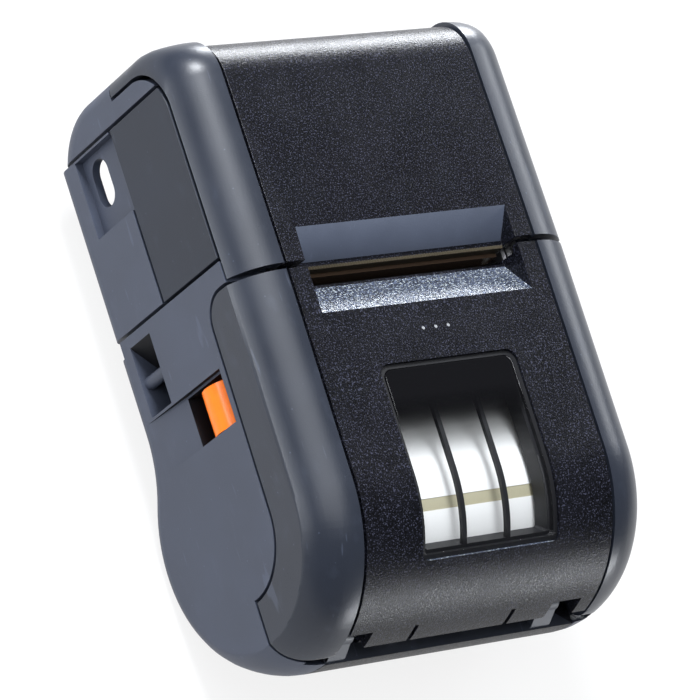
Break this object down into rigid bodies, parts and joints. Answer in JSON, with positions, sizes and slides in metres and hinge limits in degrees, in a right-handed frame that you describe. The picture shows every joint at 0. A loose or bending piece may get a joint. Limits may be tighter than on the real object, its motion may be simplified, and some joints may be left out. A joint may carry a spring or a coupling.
{
  "type": "portable label printer",
  "caption": "Handheld thermal label printer with a hinged front cover, curved window over the label roll, side release lever, rounded grey rails and a textured dark front.",
  "frame": {"origin": "middle of the overall box, on the surface that the printer lies on", "axes": "+X across towards the side with the buttons, +Y towards the print end, +Z out of the front"},
  "size_m": [0.1, 0.151, 0.0706],
  "materials": {
    "dark_shell": "textured",
    "grey_shell": "satin",
    "dark_inner": "matte",
    "orange_lever": "satin",
    "clear_window": "gloss",
    "label_paper": "matte",
    "core_board": "matte",
    "black_rubber": "matte",
    "bright_steel": "satin",
    "pale_plastic": "satin",
    "contact_gold": "gloss",
    "green_board": "satin",
    "head_ceramic": "satin",
    "sink_metal": "satin",
    "light_lens": "gloss"
  },
  "bodies": {
    "body": {"base_shell": "dark_shell", "left_side_cover": "grey_shell", "right_side_cover": "grey_shell", "top_cover": "dark_shell", "left_rail": "grey_shell", "right_rail": "grey_shell", "end_cap": "grey_shell", "left_side_panel": "grey_shell", "right_side_panel": "grey_shell", "left_cheek": "grey_shell", "right_cheek": "grey_shell", "battery_pack": "dark_inner", "battery_contacts": "contact_gold", "main_frame": "bright_steel", "main_board": "green_board", "print_head": "head_ceramic", "head_heatsink": "sink_metal", "head_springs": "bright_steel", "tear_bar": "bright_steel", "drive_motor": "bright_steel", "idler_pin": "bright_steel", "hinge_pin": "bright_steel", "usb_socket": "bright_steel", "power_socket": "dark_inner", "back_screws": "bright_steel"},
    "cover": {"cover_panel": "dark_shell", "cover_left_rail": "grey_shell", "cover_right_rail": "grey_shell", "window_lens": "clear_window", "window_frame": "dark_inner", "status_lights": "light_lens", "platen_bushes": "pale_plastic"},
    "platen": {"platen_roller": "black_rubber", "platen_shaft": "bright_steel", "platen_gear": "pale_plastic"},
    "idler": {"idler_gear": "pale_plastic"},
    "pinion": {"motor_pinion": "contact_gold"},
    "roll": {"label_roll": "label_paper", "label_core": "core_board"},
    "lever": {"release_lever": "orange_lever"},
    "latch": {"latch_hook": "bright_steel"},
    "battery_catch": {"battery_latch": "grey_shell"},
    "power": {"power_button": "dark_inner"},
    "feed": {"feed_button": "dark_inner"},
    "flap": {"port_flap": "black_rubber"}
  },
  "joints": [
    {"name": "cover_hinge", "type": "hinge", "parent": "body", "child": "cover", "pos_m": [0, -0.06973, 0.0406], "axis": [1, 0, 0], "range_deg": [0, 80]},
    {"name": "platen_turn", "type": "hinge", "parent": "cover", "child": "platen", "pos_m": [0, 0.007, 0.0561], "axis": [1, 0, 0], "continuous": true},
    {"name": "idler_turn", "type": "hinge", "parent": "body", "child": "idler", "pos_m": [0, 0.02091, 0.04807], "axis": [1, 0, 0], "continuous": true},
    {"name": "pinion_turn", "type": "hinge", "parent": "body", "child": "pinion", "pos_m": [0, 0.03392, 0.04693], "axis": [1, 0, 0], "continuous": true},
    {"name": "roll_turn", "type": "hinge", "parent": "body", "child": "roll", "pos_m": [0, -0.0407, 0.0348], "axis": [1, 0, 0], "continuous": true},
    {"name": "lever_slide", "type": "slide", "parent": "body", "child": "lever", "axis": [0, 0, -1], "range_m": [0, 0.0045], "stiffness_N_per_m": 200, "springref_m": -0.002},
    {"name": "latch_turn", "type": "hinge", "parent": "body", "child": "latch", "pos_m": [0, 0.015, 0.0439], "axis": [-1, 0, 0], "range_deg": [0, 13]},
    {"name": "catch_slide", "type": "slide", "parent": "body", "child": "battery_catch", "axis": [0, -1, 0], "range_m": [0, 0.0025], "stiffness_N_per_m": 300, "springref_m": -0.001},
    {"name": "power_push", "type": "slide", "parent": "body", "child": "power", "axis": [-1, 0, 0], "range_m": [0, 0.0008], "stiffness_N_per_m": 400, "springref_m": -0.0005},
    {"name": "feed_push", "type": "slide", "parent": "body", "child": "feed", "axis": [-1, 0, 0], "range_m": [0, 0.0008], "stiffness_N_per_m": 400, "springref_m": -0.0005},
    {"name": "flap_hinge", "type": "hinge", "parent": "body", "child": "flap", "pos_m": [0.0491, 0, 0.0179], "axis": [0, 1, 0], "range_deg": [0, 100]}
  ],
  "couplings": [
    {"joint": "idler_turn", "follows": "platen_turn", "ratio": -0.6},
    {"joint": "pinion_turn", "follows": "platen_turn", "ratio": 2},
    {"joint": "latch_turn", "follows": "lever_slide", "rad_per_m": 48.5}
  ]
}
